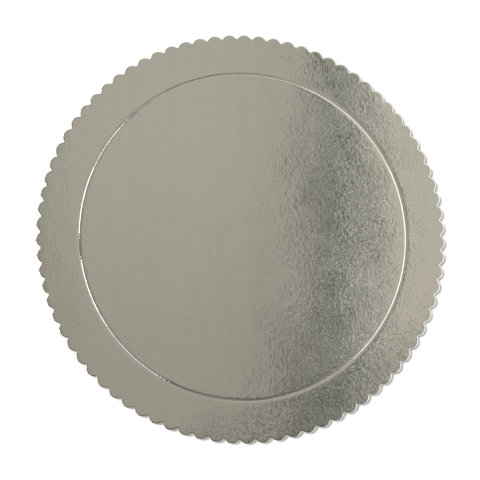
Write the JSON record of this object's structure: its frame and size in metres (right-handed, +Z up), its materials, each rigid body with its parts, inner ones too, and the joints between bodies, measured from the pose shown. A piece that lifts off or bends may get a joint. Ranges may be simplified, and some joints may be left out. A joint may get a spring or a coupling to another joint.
{
  "type": "cake board",
  "caption": "Round foil-faced card cake board with a scalloped die-cut rim and one pressed ring groove round the cake's place.",
  "frame": {"origin": "centre of the disc, on the flat underside that the board rests on", "axes": "+Z up out of the foil face, +X through the tip of one lobe, +Y across the board"},
  "size_m": [0.26, 0.2598, 0.003],
  "materials": {
    "foil_faced_board": "gloss"
  },
  "bodies": {
    "root": {"cake_board": "foil_faced_board"}
  },
  "joints": []
}
